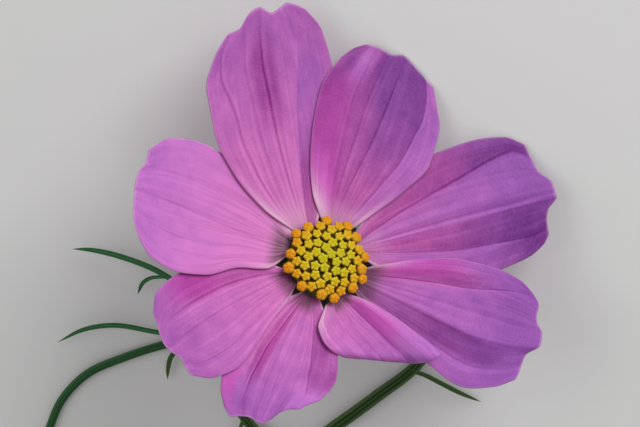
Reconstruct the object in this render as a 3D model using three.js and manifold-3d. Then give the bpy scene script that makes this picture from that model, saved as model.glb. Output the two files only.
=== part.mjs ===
// A cosmos flower, picked and laid on a flat surface: eight petals, a disc of closed florets,
// two rows of bracts, a bent stem and a pair of thread-lobed leaves. Millimetres, +Z up.

import * as THREE from 'three';
import { mergeVertices } from 'three/addons/utils/BufferGeometryUtils.js';
import Module from 'manifold-3d';

const wasm = await Module();
wasm.setup();

// How the bloom lies
const bloomHeight = 19.42;
const bloomTilt = 45;
const plumbPoint = [1.72, -27.5];

// Petals
const petalCount = 8;
const firstPetal = 59.5;
const rootRadius = 6.6;
const cupSlope = 20;
const bladeThickness = 0.65;
const layerStart = 6;
const layerRun = 5;
const layerInset = 0.1;
const layerSpread = 0.6;
const pleatPlace = 0.36;
const pleatSpread = 0.14;
const pleatGrowth = 1.6;
const waveCount = 2.2;
const widthStations = [0, 0.12, 0.3, 0.5, 0.7, 0.88, 1];
const tipStations = [-1, -0.75, -0.5, -0.25, 0, 0.25, 0.5, 0.75, 1];

// One row for each petal, clockwise from the top of the bloom. Claw is the left and right half width
// at the root, left and right are the half widths at the stations after it; tip is how far the edge
// falls short of the length, from the right shoulder to the left one; layer is how far the left and
// right edges lie over (+) or under (-) the neighbours; lean turns the petal from its spoke, in
// degrees; pleat, wave and droop are the depths of the two grooves, the wavy edge and the bent tip.
const petals = [
  { lean: -9, length: 41.6, claw: [2.9, 1.6], left: [8.2, 12.7, 15.1, 15.1, 12.4, 9.1],
    right: [4, 7.4, 9.4, 9.6, 8.8, 6.4], tip: [1.9, 0.7, 0.1, 0.8, 1.4, 0, 1, 3.4, 3.9],
    layer: [1, -1], pleat: 0.5, wave: 0.25, phase: 0.1, droop: 0.8 },
  { lean: 2, length: 34.6, claw: [2.4, 2.1], left: [6.4, 9.5, 11.5, 12.4, 11.1, 9.2],
    right: [4.9, 8.8, 11.6, 11.1, 8.8, 7.2], tip: [3.6, 2.7, 1.8, 0.8, 0, 0.7, 0.6, 0.8, 2.4],
    layer: [1, 1], pleat: 0.45, wave: 0.2, phase: 0.5, droop: 1.2 },
  { lean: -10, length: 38.6, claw: [1.6, 1], left: [7, 11.2, 13.3, 13.8, 13.1, 10.8],
    right: [5.6, 9.2, 11.2, 10.4, 9.4, 7.8], tip: [4.5, 3.1, 3, 2.3, 0.2, 0.3, 2.2, 2.8, 3.4],
    layer: [-1, -1], pleat: 0.4, wave: 0.3, phase: 0.8, droop: 0.75 },
  { lean: 1, length: 36.5, claw: [1.3, 2.4], left: [3.7, 6.7, 8.6, 8.9, 8, 6.4],
    right: [4.9, 8.2, 11.8, 13.9, 12.1, 9.4], tip: [2.5, 2.2, 2.2, 0.5, 0.8, 2.3, 2.9, 3, 4.8],
    layer: [1, -1.8], pleat: 0.4, wave: 0.2, phase: 0.3, droop: 0.8 },
  { lean: 15, length: 21, claw: [1, 3.4], left: [2.1, 3.3, 4.3, 4.9, 5.4, 5.3],
    right: [7.9, 9.1, 8.5, 7.7, 7, 6], tip: [7, 4, 2, 0.7, 0, -0.2, -0.3, 0, 0.4],
    layer: [1.9, 1], pleat: 0.3, wave: 0, phase: 0, droop: 0,
    fold: { azimuth: -148, distance: 16.3, radius: 1.5, turn: 150 } },
  { lean: -5, length: 31, claw: [1.8, 1.5], left: [5, 8.5, 9.9, 8.8, 6.6, 5.8],
    right: [4.4, 7.4, 9.4, 9.8, 8.7, 6.7], tip: [1.3, 0.1, 1.2, 1.7, 1.6, 2.8, 5.6, 7.2, 8],
    layer: [-1, -1], pleat: 0.5, wave: 0.2, phase: 0.7, droop: 0.8 },
  { lean: 11, length: 31.4, claw: [1.8, 1], left: [3.5, 5, 7, 8.4, 7.5, 4.9],
    right: [5, 8.5, 10.5, 11.2, 10.6, 7.7], tip: [1.8, 1.3, 0.5, 0, 0.5, 1.2, 1.1, 0.9, 0.9],
    layer: [1, -1], pleat: 0.35, wave: 0.2, phase: 0.4, droop: 0.8 },
  { lean: 10, length: 33.7, claw: [1.4, 2.8], left: [5.3, 6.9, 10.2, 11.3, 10.1, 7.2],
    right: [5.6, 9.8, 12, 12.8, 11.8, 8.6], tip: [1.4, 1.4, 0.4, 0.1, 0.4, 0.6, 0.9, 1.6, 2.7],
    layer: [1, -1], pleat: 0.35, wave: 0.25, phase: 0.9, droop: 0.8 },
];

// Disc
const budCount = 58;
const innerBudCount = 32;
const discRadius = 7;
const domeTop = 3.3;
const domeEdge = 1.7;
const domeLean = 0.07;
const goldenAngle = Math.PI * (3 - Math.sqrt(5));
const innerCoreRadius = 5.1;
const innerCoreShares = [1, 0.8, 0.45, 0.05];
const ringCore = { inner: 5.45, outer: 6.35 };
const coreBottom = 0.6;
const bud = { foot: 0.36, belly: 0.72, waist: 0.62, crown: 0.52, notch: 0.36, sunk: 0.5, height: 1.4,
  bellyPlace: 0.6 };

// Bracts
const innerBract = { thickness: 0.65, notch: 0.7, tipPower: 1.15 };
const innerBractStations = [0, 0.2, 0.4, 0.6, 0.8, 1];
const innerBractRadii = [1.75, 3.5, 5.4, 6.7, 8.2, 9.8];
const innerBractHeights = [-5.75, -4.35, -2.75, -1.95, -1.6, -1.55];
const outerBract = { halfWidth: 0.85, rootShare: 0.7, swell: 1.1, taper: 2.2, tipHalfWidth: 0.12,
  halfThickness: 0.35 };
const outerBractProfile = [[1.5, -6.75], [3.2, -6.5], [5.6, -5.6], [8, -4.7], [10.2, -4.35]];
const bractCollar = [[1.3, -7.3], [2.1, -7.1], [2.2, -6.4], [1.3, -6.2]];

// Stem, from its broad top down through the neck to the cut end
const receptacle = [[0.3, 6.2], [-0.7, 6.2], [-1.75, 5.5], [-3.7, 3.1], [-5.4, 1.4], [-6.4, 0.95], [-8, 0.9]];
const stemRadius = 0.85;
const neckRadius = 0.9;
const neckShare = 0.33;
const stemPath = [
  [0, 10.4, 8.7], [0, 15.6, 4.5], [0.2, 21.6, 1.85], [1.2, 28.1, 0.98], [3.8, 34, 0.87], [7.7, 39.7, 0.86],
  [11.8, 45, 0.86], [16.2, 52.5, 0.86], [20, 60.9, 0.86], [20.7, 69.4, 0.86], [19.2, 76.3, 0.86],
  [17, 83, 0.86], [14.8, 89.5, 0.86],
];

// Leaves: a midrib first, then the lobes that grow out of it, each by its route and half width
const lobeHalfThickness = 0.34;
const lobeTaper = { rootShare: 0.75, swell: 0.35, power: 6, tipShare: 0.18 };
const leaves = {
  leaf_right: [
    { halfWidth: 0.68, route: [[5.9, 35.2, 1.4], [9.5, 32.2, 2.6], [14.5, 30.5, 3.8], [21.8, 30.7, 4.1],
      [29.3, 33.2, 3.9], [34.3, 36.2, 3.2], [37.5, 39.2, 2.3]] },
    { halfWidth: 0.6, route: [[7.4, 33.9, 2.1], [9.4, 38.4, 2.8], [14, 41.7, 3.4], [21.6, 46.5, 3.2],
      [26, 52.1, 2.4], [28.6, 58.8, 1.6]] },
    { halfWidth: 0.45, route: [[20, 30.7, 4.1], [21.9, 32.9, 3.6], [22.6, 35.6, 2.6], [22, 38.9, 1.5]] },
    { halfWidth: 0.45, route: [[12, 31.2, 3.2], [13.6, 27.6, 3.6], [16.5, 24.4, 2.8], [19, 22.2, 1.4]] },
  ],
  leaf_left: [
    { halfWidth: 1.4, route: [[3.7, 36.1, 1.3], [-2, 41, 2], [-9.5, 46, 2.6], [-17, 47.1, 2.3],
      [-22.6, 43, 1.8], [-24.7, 35, 1.6], [-26.8, 24.9, 1.5], [-28.6, 14.3, 1.4], [-27.1, 4.9, 1.2],
      [-22.4, -4.5, 0.9]] },
    { halfWidth: 0.58, route: [[-28.7, 16, 1.5], [-31, 15, 1.6], [-34.4, 14.3, 1.6], [-38.6, 13.6, 1.3],
      [-42.9, 12.6, 0.9]] },
    { halfWidth: 0.55, route: [[-2, 41, 2], [5, 39.7, 2.6], [8.8, 41.8, 2.6], [9.2, 45.4, 2.1],
      [8.1, 48.4, 1.5], [6.8, 50.8, 0.9]] },
    { halfWidth: 0.5, route: [[-9.5, 46, 2.6], [-11, 51.5, 2.8], [-10.5, 58, 2], [-8, 63.5, 0.9]] },
    { halfWidth: 0.5, route: [[-17, 47.1, 2.3], [-22, 52.5, 2.4], [-24, 59.5, 1.6], [-23.5, 65.5, 0.8]] },
  ],
};

const petalRows = 11;
const foldedPetalRows = 18;
const petalColumns = 12;
const budSides = 10;
const discSegments = 24;
const ringSegments = 36;
const bractColumns = 6;
const innerBractRows = 4;
const outerBractSteps = 6;
const outerBractSides = 6;
const stemSides = 12;
const stemSteps = 28;
const lobeSides = 6;
const lobeStepsPerPoint = 2.5;
const slopeStep = 1e-3;

const radians = THREE.MathUtils.degToRad;
const up = new THREE.Vector3(0, 0, 1);
const bloomAxis = new THREE.Vector3(0, -Math.cos(radians(bloomTilt)), Math.sin(radians(bloomTilt)));
const downhill = new THREE.Vector3(0, -Math.sin(radians(bloomTilt)), -Math.cos(radians(bloomTilt)));
const sideways = new THREE.Vector3(1, 0, 0);
const bloomCentre = new THREE.Vector3(0, 0, bloomHeight);

// A point of the bloom: two coordinates in the bloom's plane, downhill and sideways, and a height
// along its axis
function bloomPoint(downhillPart, sidewaysPart, height) {
  return bloomCentre.clone()
    .addScaledVector(downhill, downhillPart)
    .addScaledVector(sideways, sidewaysPart)
    .addScaledVector(bloomAxis, height);
}

function ringPoint(azimuth, radius, height) {
  return bloomPoint(radius * Math.cos(azimuth), radius * Math.sin(azimuth), height);
}

function ease(value) {
  const v = THREE.MathUtils.clamp(value, 0, 1);
  return v * v * (3 - 2 * v);
}

// A smooth curve through values at stations, which doesn't swing past them
function curveThrough(stations, values) {
  const last = values.length - 1;
  const rises = values.slice(1).map((value, i) => (value - values[i]) / (stations[i + 1] - stations[i]));
  const tangents = values.map((value, i) => {
    const before = rises[Math.max(i - 1, 0)];
    const after = rises[Math.min(i, last - 1)];
    return before * after > 0 ? (2 * before * after) / (before + after) : 0;
  });
  return (place) => {
    let i = 0;
    while (i < last - 1 && place > stations[i + 1]) i += 1;
    const span = stations[i + 1] - stations[i];
    const u = (place - stations[i]) / span;
    return (1 + 2 * u) * (1 - u) ** 2 * values[i] + u * (1 - u) ** 2 * span * tangents[i]
      + u * u * (3 - 2 * u) * values[i + 1] - u * u * (1 - u) * span * tangents[i + 1];
  };
}

// Rolls the outer margin of a petal under about a straight line across the bloom's plane
function rollUnder(fold, plan, height) {
  const outX = Math.cos(radians(fold.azimuth));
  const outY = Math.sin(radians(fold.azimuth));
  const past = plan[0] * outX + plan[1] * outY - fold.distance;
  if (past <= 0) return [plan[0], plan[1], height];
  const fullTurn = radians(fold.turn);
  const angle = Math.min(past / fold.radius, fullTurn);
  const flat = past - fold.radius * angle;
  const reach = fold.radius * Math.sin(angle) + flat * Math.cos(angle);
  const drop = fold.radius * (1 - Math.cos(angle)) + flat * Math.sin(angle);
  const back = past - reach;
  const slope = Math.tan(radians(cupSlope));
  return [plan[0] - back * outX, plan[1] - back * outY, height - drop - back * slope];
}

// The middle surface of a petal: along runs from the claw to the tip, across from the right edge
// at -1 to the left edge at 1
function petalSurface(petal, index) {
  const root = radians(firstPetal - (index * 360) / petalCount);
  const aim = root + radians(petal.lean);
  const slope = radians(cupSlope);
  const left = curveThrough(widthStations, [petal.claw[0], ...petal.left]);
  const right = curveThrough(widthStations, [petal.claw[1], ...petal.right]);
  const tip = curveThrough(tipStations, petal.tip);
  return (along, across) => {
    const offAxis = across * (across >= 0 ? left(along) : right(along));
    const outward = (petal.length * along - tip(across) * along ** 3) * Math.cos(slope);
    const plan = [
      rootRadius * Math.cos(root) + outward * Math.cos(aim) - offAxis * Math.sin(aim),
      rootRadius * Math.sin(root) + outward * Math.sin(aim) + offAxis * Math.cos(aim),
    ];
    const radius = Math.hypot(plan[0], plan[1]);
    const layer = petal.layer[across >= 0 ? 0 : 1]
      * ease((Math.abs(across) - layerInset) / layerSpread) * ease((radius - layerStart) / layerRun);
    const pleat = petal.pleat * ease(along * pleatGrowth)
      * Math.exp(-(((Math.abs(across) - pleatPlace) / pleatSpread) ** 2));
    const wave = petal.wave * along * across ** 2 * Math.sin(2 * Math.PI * (waveCount * along + petal.phase));
    const height = (radius - rootRadius) * Math.tan(slope) + layer - pleat + wave - petal.droop * along ** 4;
    const [x, y, z] = petal.fold ? rollUnder(petal.fold, plan, height) : [plan[0], plan[1], height];
    return bloomPoint(x, y, z);
  };
}

function geometryFrom(positions, triangles) {
  const geometry = new THREE.BufferGeometry();
  geometry.setAttribute('position', new THREE.Float32BufferAttribute(positions, 3));
  geometry.setIndex(triangles);
  return geometry;
}

function normalAt(surface, u, v) {
  const u0 = Math.max(u - slopeStep, 0);
  const u1 = Math.min(u + slopeStep, 1);
  const v0 = Math.max(v - slopeStep, -1);
  const v1 = Math.min(v + slopeStep, 1);
  const alongU = surface(u1, v).sub(surface(u0, v));
  const alongV = surface(u, v1).sub(surface(u, v0));
  return alongU.cross(alongV).normalize();
}

// A blade of even thickness about a middle surface, both faces split into the same triangles
function blade(surface, rows, columns, thickness) {
  const top = [];
  const bottom = [];
  for (let i = 0; i <= rows; i += 1) {
    for (let j = 0; j <= columns; j += 1) {
      const u = i / rows;
      const v = -1 + (2 * j) / columns;
      const middle = surface(u, v);
      const normal = normalAt(surface, u, v);
      top.push(...middle.clone().addScaledVector(normal, thickness / 2).toArray());
      bottom.push(...middle.clone().addScaledVector(normal, -thickness / 2).toArray());
    }
  }
  const count = (rows + 1) * (columns + 1);
  const at = (i, j) => i * (columns + 1) + j;
  const triangles = [];
  for (let i = 0; i < rows; i += 1) {
    for (let j = 0; j < columns; j += 1) {
      const [a, b, c, d] = [at(i, j), at(i + 1, j), at(i + 1, j + 1), at(i, j + 1)];
      triangles.push(a, b, c, a, c, d);
      triangles.push(count + a, count + c, count + b, count + a, count + d, count + c);
    }
  }
  const rim = [];
  for (let i = 0; i < rows; i += 1) rim.push(at(i, 0));
  for (let j = 0; j < columns; j += 1) rim.push(at(rows, j));
  for (let i = rows; i > 0; i -= 1) rim.push(at(i, columns));
  for (let j = columns; j > 0; j -= 1) rim.push(at(0, j));
  rim.forEach((a, k) => {
    const b = rim[(k + 1) % rim.length];
    triangles.push(a, count + a, count + b, a, count + b, b);
  });
  return geometryFrom([...top, ...bottom], triangles);
}

// A closed skin over rings of points, each ring given in the same turning order
function skin(rings) {
  const sides = rings[0].length;
  const positions = rings.flat().flatMap((point) => point.toArray());
  const triangles = [];
  for (let i = 0; i < rings.length - 1; i += 1) {
    for (let j = 0; j < sides; j += 1) {
      const next = (j + 1) % sides;
      const [a, b, c, d] = [i * sides + j, i * sides + next, (i + 1) * sides + next, (i + 1) * sides + j];
      triangles.push(a, b, c, a, c, d);
    }
  }
  const firstCentre = positions.length / 3;
  const lastCentre = firstCentre + 1;
  for (const ring of [rings[0], rings[rings.length - 1]]) {
    const centre = ring.reduce((sum, point) => sum.add(point), new THREE.Vector3()).divideScalar(sides);
    positions.push(...centre.toArray());
  }
  const lastRing = (rings.length - 1) * sides;
  for (let j = 0; j < sides; j += 1) {
    const next = (j + 1) % sides;
    triangles.push(firstCentre, next, j, lastCentre, lastRing + j, lastRing + next);
  }
  return geometryFrom(positions, triangles);
}

// A rod along a curve; width and height give its half sizes at each step from 0 to 1
function rod(curve, steps, sides, uprightness, width, height) {
  const rings = [];
  for (let i = 0; i <= steps; i += 1) {
    const place = i / steps;
    const centre = curve.getPoint(place);
    const tangent = curve.getTangent(place);
    const side = tangent.clone().cross(uprightness).normalize();
    const over = tangent.clone().cross(side).normalize();
    rings.push(Array.from({ length: sides }, (_, j) => {
      const turn = (2 * Math.PI * j) / sides;
      return centre.clone()
        .addScaledVector(side, width(place) * Math.cos(turn))
        .addScaledVector(over, height(place) * Math.sin(turn));
    }));
  }
  return skin(rings);
}

function routeCurve(points) {
  return new THREE.CatmullRomCurve3(points.map((p) => new THREE.Vector3(...p)), false, 'centripetal');
}

function solidOf(geometry) {
  const welded = mergeVertices(geometry, 1e-4);
  return new wasm.Manifold(new wasm.Mesh({
    numProp: 3,
    vertProperties: new Float32Array(welded.attributes.position.array),
    triVerts: new Uint32Array(welded.index.array),
  }));
}

function fuse(geometries) {
  const joined = geometries.map(solidOf).reduce((sum, piece) => sum.add(piece));
  const { vertProperties, triVerts } = joined.getMesh();
  return geometryFrom([...vertProperties], [...triVerts]);
}

function circle(radius, height, segments) {
  return Array.from({ length: segments }, (_, j) => ringPoint((2 * Math.PI * j) / segments, radius, height));
}

// A closed ring round the bloom's axis: circles of points, in the turning order of their section
// from its inner bottom corner
function hoop(circles) {
  const segments = circles[0].length;
  const triangles = [];
  circles.forEach((_, i) => {
    const ahead = ((i + 1) % circles.length) * segments;
    for (let j = 0; j < segments; j += 1) {
      const next = (j + 1) % segments;
      const [a, b, c, d] = [i * segments + j, i * segments + next, ahead + next, ahead + j];
      triangles.push(a, b, c, a, c, d);
    }
  });
  return geometryFrom(circles.flat().flatMap((point) => point.toArray()), triangles);
}

function domeHeight(radius) {
  return THREE.MathUtils.lerp(domeTop, domeEdge, (radius / discRadius) ** 2);
}

// A closed floret with five lobes, standing on the dome and leaning outward towards the rim
function floretBud(index) {
  const azimuth = index * goldenAngle;
  const radius = discRadius * Math.sqrt((index + 0.5) / budCount);
  const footRadius = index < innerBudCount
    ? Math.min(radius, innerCoreRadius - bud.foot)
    : THREE.MathUtils.clamp(radius, ringCore.inner + bud.foot, ringCore.outer - bud.foot);
  const foot = ringPoint(azimuth, footRadius, domeHeight(radius) - bud.sunk);
  const lean = domeLean * radius;
  const outward = ringPoint(azimuth, 1, 0).sub(bloomCentre);
  const rise = bloomAxis.clone().addScaledVector(outward, lean).normalize();
  const across = new THREE.Vector3().crossVectors(rise, outward).normalize();
  const along = new THREE.Vector3().crossVectors(across, rise);
  const base = ringPoint(azimuth, radius, domeHeight(radius));
  const ring = (centre, lobe, notch) => Array.from({ length: budSides }, (_, j) => {
    const turn = (2 * Math.PI * j) / budSides;
    const reach = j % 2 === 0 ? lobe : notch;
    return centre.clone()
      .addScaledVector(along, reach * Math.cos(turn))
      .addScaledVector(across, reach * Math.sin(turn));
  });
  return skin([
    ring(foot, bud.foot, bud.foot),
    ring(base.clone().addScaledVector(rise, bud.height * bud.bellyPlace), bud.belly, bud.waist),
    ring(base.clone().addScaledVector(rise, bud.height), bud.crown, bud.notch),
  ]);
}

function innerFlorets() {
  const rings = innerCoreShares.map((share) => share * innerCoreRadius);
  const core = skin([
    circle(innerCoreRadius, coreBottom, discSegments),
    ...rings.map((radius) => circle(radius, domeHeight(radius), discSegments)),
  ]);
  const buds = Array.from({ length: innerBudCount }, (_, i) => floretBud(i));
  return fuse([core, ...buds]);
}

function outerFlorets() {
  const { inner, outer } = ringCore;
  const section = [
    [inner, coreBottom], [outer, coreBottom], [outer, domeHeight(outer)], [inner, domeHeight(inner)],
  ];
  const core = hoop(section.map(([radius, height]) => circle(radius, height, ringSegments)));
  const buds = Array.from({ length: budCount - innerBudCount }, (_, i) => floretBud(innerBudCount + i));
  return fuse([core, ...buds]);
}

// The cup of inner bracts: a thin bowl whose rim runs out to eight points between the petals
function innerBracts() {
  const rows = innerBractRows;
  const columns = petalCount * bractColumns;
  const radiusAt = curveThrough(innerBractStations, innerBractRadii);
  const heightAt = curveThrough(innerBractStations, innerBractHeights);
  const reachAt = (j) => {
    const offPoint = Math.abs((j % bractColumns) / bractColumns - 0.5) * 2;
    return innerBract.notch + (1 - innerBract.notch) * (1 - offPoint) ** innerBract.tipPower;
  };
  const faces = [1, -1].map((side) => Array.from({ length: rows + 1 }, (_, i) => (
    Array.from({ length: columns }, (__, j) => {
      const azimuth = radians(firstPetal) + (2 * Math.PI * j) / columns;
      const place = (reachAt(j) * i) / rows;
      const before = Math.max(place - slopeStep, 0);
      const after = Math.min(place + slopeStep, 1);
      const run = new THREE.Vector2(radiusAt(after) - radiusAt(before), heightAt(after) - heightAt(before));
      run.normalize().multiplyScalar((side * innerBract.thickness) / 2);
      return ringPoint(azimuth, radiusAt(place) - run.y, heightAt(place) + run.x);
    }))));
  return hoop([...faces[1], ...faces[0].reverse()]);
}

// The ring of narrow outer bracts: tapered blades that spread from a collar round the stem
function outerBracts() {
  const blades = Array.from({ length: petalCount }, (_, k) => {
    const azimuth = radians(firstPetal + (k * 360) / petalCount);
    const points = outerBractProfile.map(([radius, height]) => ringPoint(azimuth, radius, height).toArray());
    const width = (place) => outerBract.tipHalfWidth + outerBract.halfWidth
      * (outerBract.rootShare + outerBract.swell * place) * (1 - place ** outerBract.taper);
    return rod(
      routeCurve(points), outerBractSteps, outerBractSides, bloomAxis, width, () => outerBract.halfThickness,
    );
  });
  const collar = hoop(bractCollar.map(([radius, height]) => circle(radius, height, discSegments)));
  return fuse([collar, ...blades]);
}

// The stem with the broad receptacle that carries the florets and petals
function stem() {
  const ring = (centre, direction, radius) => {
    const side = direction.clone().cross(up).normalize();
    const over = direction.clone().cross(side).normalize();
    return Array.from({ length: stemSides }, (_, j) => {
      const turn = (2 * Math.PI * j) / stemSides;
      return centre.clone()
        .addScaledVector(side, radius * Math.cos(turn))
        .addScaledVector(over, radius * Math.sin(turn));
    });
  };
  const headRings = receptacle.map(([height, radius]) => (
    ring(bloomPoint(0, 0, height), bloomAxis.clone().negate(), radius)));
  const neckHeight = receptacle[receptacle.length - 1][0];
  const curve = routeCurve([bloomPoint(0, 0, neckHeight).toArray(), ...stemPath]);
  const stemRings = Array.from({ length: stemSteps }, (_, i) => {
    const place = (i + 1) / stemSteps;
    const radius = THREE.MathUtils.lerp(neckRadius, stemRadius, ease(place / neckShare));
    return ring(curve.getPoint(place), curve.getTangent(place), radius);
  });
  return skin([...headRings, ...stemRings]);
}

function leaf(lobes) {
  const { rootShare, swell, power, tipShare } = lobeTaper;
  const taper = (halfWidth) => (place) => (
    halfWidth * Math.max(tipShare, (rootShare + swell * place) * (1 - place ** power)));
  const pieces = lobes.map(({ route, halfWidth }) => (
    rod(
      routeCurve(route), Math.round(route.length * lobeStepsPerPoint), lobeSides, up,
      taper(halfWidth), () => lobeHalfThickness,
    )));
  return fuse(pieces);
}

const finishes = {
  petal: new THREE.MeshStandardMaterial({ color: 0xc467b8, roughness: 0.6, metalness: 0 }),
  innerFloret: new THREE.MeshStandardMaterial({ color: 0xc9b62a, roughness: 0.7, metalness: 0 }),
  outerFloret: new THREE.MeshStandardMaterial({ color: 0xd98a14, roughness: 0.7, metalness: 0 }),
  bract: new THREE.MeshStandardMaterial({ color: 0x4f6b35, roughness: 0.65, metalness: 0 }),
  stem: new THREE.MeshStandardMaterial({ color: 0x3f6a33, roughness: 0.6, metalness: 0 }),
  leaf: new THREE.MeshStandardMaterial({ color: 0x2f5f35, roughness: 0.55, metalness: 0 }),
};

const flower = new THREE.Group();
flower.position.set(plumbPoint[0], plumbPoint[1], 0);

function addPart(name, geometry, finish) {
  const mesh = new THREE.Mesh(geometry, finish);
  mesh.name = name;
  flower.add(mesh);
}

petals.forEach((petal, index) => {
  const rows = petal.fold ? foldedPetalRows : petalRows;
  const geometry = blade(petalSurface(petal, index), rows, petalColumns, bladeThickness);
  addPart(`petal_${index + 1}`, geometry, finishes.petal);
});
addPart('disc_florets_inner', innerFlorets(), finishes.innerFloret);
addPart('disc_florets_outer', outerFlorets(), finishes.outerFloret);
addPart('inner_bracts', innerBracts(), finishes.bract);
addPart('outer_bracts', outerBracts(), finishes.bract);
addPart('stem', stem(), finishes.stem);
for (const [name, lobes] of Object.entries(leaves)) addPart(name, leaf(lobes), finishes.leaf);

export default flower;
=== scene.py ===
# Cosmos flower, picked and laid face up on its bent stem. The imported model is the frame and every
# size below is in millimetres, turned into metres as the meshes are made.

import math

import bmesh
import bpy
import numpy as np
from mathutils import Matrix, Vector


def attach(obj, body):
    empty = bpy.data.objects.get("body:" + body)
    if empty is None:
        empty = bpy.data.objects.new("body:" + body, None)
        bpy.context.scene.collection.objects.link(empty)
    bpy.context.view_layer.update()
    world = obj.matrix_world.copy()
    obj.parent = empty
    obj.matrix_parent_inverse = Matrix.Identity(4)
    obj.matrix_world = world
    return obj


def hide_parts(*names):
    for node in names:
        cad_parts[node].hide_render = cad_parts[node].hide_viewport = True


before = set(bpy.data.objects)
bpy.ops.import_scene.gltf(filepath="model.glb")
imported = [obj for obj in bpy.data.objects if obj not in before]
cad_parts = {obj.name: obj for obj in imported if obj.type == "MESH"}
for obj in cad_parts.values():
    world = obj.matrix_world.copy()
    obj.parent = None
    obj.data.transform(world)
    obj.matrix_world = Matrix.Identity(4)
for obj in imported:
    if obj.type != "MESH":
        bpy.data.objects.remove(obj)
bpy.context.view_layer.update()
scene = bpy.context.scene
mm = 0.001
print("frame loaded:", len(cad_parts), "nodes")

bloom = {
    "height": 19.42,
    "tilt": 45,
    "plumbPoint": (1.72, -27.5),
    "petalCount": 8,
    "firstPetal": 59.5,
    "rootRadius": 6.6,
    "cupSlope": 20,
}

tilt = math.radians(bloom["tilt"])
bloomAxis = np.array([0, -math.cos(tilt), math.sin(tilt)])
downhill = np.array([0, -math.sin(tilt), -math.cos(tilt)])
sideways = np.array([1.0, 0, 0])
plumb = np.array([*bloom["plumbPoint"], 0])
bloomCentre = plumb + np.array([0, 0, bloom["height"]])


def matrixFrom(origin, axes):  # takes these axes to the frame, in metres
    return Matrix.Translation(Vector(origin * mm)) @ Matrix(np.stack(axes, axis=1).tolist()).to_4x4()


bloomMatrix = matrixFrom(bloomCentre, [downhill, sideways, bloomAxis])


def bloomPoints(x, y, height):
    place = x[..., None] * downhill + y[..., None] * sideways + height[..., None] * bloomAxis
    return bloomCentre + place


def ease(value):
    value = np.clip(value, 0, 1)
    return value * value * (3 - 2 * value)


def curveThrough(stations, values):  # smooth, and never swings past its values
    x, y = np.array(stations, float), np.array(values, float)
    rises = np.diff(y) / np.diff(x)
    before, after = np.append(rises[0], rises), np.append(rises, rises[-1])
    same = before * after > 0
    tangents = np.where(same, 2 * before * after / np.where(same, before + after, 1), 0)

    def at(place):
        i = np.clip(np.searchsorted(x, place) - 1, 0, len(x) - 2)
        span = x[i + 1] - x[i]
        u = (place - x[i]) / span
        return ((1 + 2 * u) * (1 - u) ** 2 * y[i] + u * (1 - u) ** 2 * span * tangents[i]
                + u * u * (3 - 2 * u) * y[i + 1] - u * u * (1 - u) * span * tangents[i + 1])
    return at


# Node trees: a value is a socket that takes part in arithmetic, and one method adds any other node
class Value:
    def __init__(self, tree, socket):
        self.tree, self.socket = tree, socket

    def __getitem__(self, name):  # another output of the same node
        return Value(self.tree, self.socket.node.outputs[name])

    def __abs__(self):
        return self.tree.maths("ABSOLUTE", self)


def arithmetic(operation, swapped):
    def work(value, other):
        return value.tree.maths(operation, *((other, value) if swapped else (value, other)))
    return work


for sign, operation in (("add", "ADD"), ("sub", "SUBTRACT"), ("mul", "MULTIPLY"), ("truediv", "DIVIDE"),
                        ("pow", "POWER")):
    setattr(Value, f"__{sign}__", arithmetic(operation, False))
    setattr(Value, f"__r{sign}__", arithmetic(operation, True))


class Tree:
    def __init__(self, nodeTree):
        self.nodeTree = nodeTree

    def node(self, kind, settings=None, sockets=None, output=0):
        made = self.nodeTree.nodes.new(kind)
        for name, setting in (settings or {}).items():
            setattr(made, name, setting)
        for name, value in (sockets or {}).items():
            if isinstance(value, Value):
                self.nodeTree.links.new(value.socket, made.inputs[name])
            else:
                made.inputs[name].default_value = value
        return Value(self, made.outputs[output]) if made.outputs else made

    def maths(self, operation, *numbers):
        return self.node("ShaderNodeMath", {"operation": operation}, dict(enumerate(numbers)))

    def blend(self, factor, first, second):  # colours
        paint = [(*c, 1) if isinstance(c, tuple) else c for c in (first, second)]
        settings = {"data_type": "RGBA", "clamp_factor": True}
        return self.node("ShaderNodeMix", settings, {0: factor, 6: paint[0], 7: paint[1]}, output=2)

    def between(self, value, low, high):  # 0 below low and 1 above high, with a soft run between
        settings = {"interpolation_type": "SMOOTHSTEP"}
        return self.node("ShaderNodeMapRange", settings, {"Value": value, "From Min": low, "From Max": high})

    def attribute(self, name):
        return self.node("ShaderNodeAttribute", {"attribute_name": name}, output="Fac")

    def noise(self, vector, scale, detail=2.0, roughness=0.5):
        sockets = {"Vector": vector, "Scale": scale, "Detail": detail, "Roughness": roughness}
        return self.node("ShaderNodeTexNoise", None, sockets)

    def vector(self, x, y, z):
        return self.node("ShaderNodeCombineXYZ", None, {"X": x, "Y": y, "Z": z})

    def objectPlace(self):
        return self.node("ShaderNodeTexCoord", None, None, output="Object")

    def bump(self, height, strength, depth):
        sockets = {"Height": height, "Strength": strength, "Distance": depth * mm}
        return self.node("ShaderNodeBump", None, sockets)

    def random(self, low, high, seed):
        sockets = {2: low, 3: high, "Seed": seed}
        return self.node("FunctionNodeRandomValue", {"data_type": "FLOAT"}, sockets, output=1)

    def shapeOf(self, thing):
        return self.node("GeometryNodeObjectInfo", None, {"Object": thing}, output="Geometry")

    def noted(self, geometry, name, value):  # keeps a value with the points, for the finish to read
        return self.node("GeometryNodeStoreNamedAttribute", {"data_type": "FLOAT", "domain": "POINT"}, {
            "Geometry": geometry, "Name": name, "Value": value})

    def planted(self, points, thing, rotation, size):
        return self.node("GeometryNodeInstanceOnPoints", None, {
            "Points": points, "Instance": self.shapeOf(thing), "Rotation": rotation,
            "Scale": self.vector(size, size, size)})

    def endWith(self, geometry, finish):
        whole = self.node("GeometryNodeRealizeInstances", None, {"Geometry": geometry})
        painted = self.node("GeometryNodeSetMaterial", None, {"Geometry": whole, "Material": finish})
        self.node("NodeGroupOutput", None, {"Geometry": painted})


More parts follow.
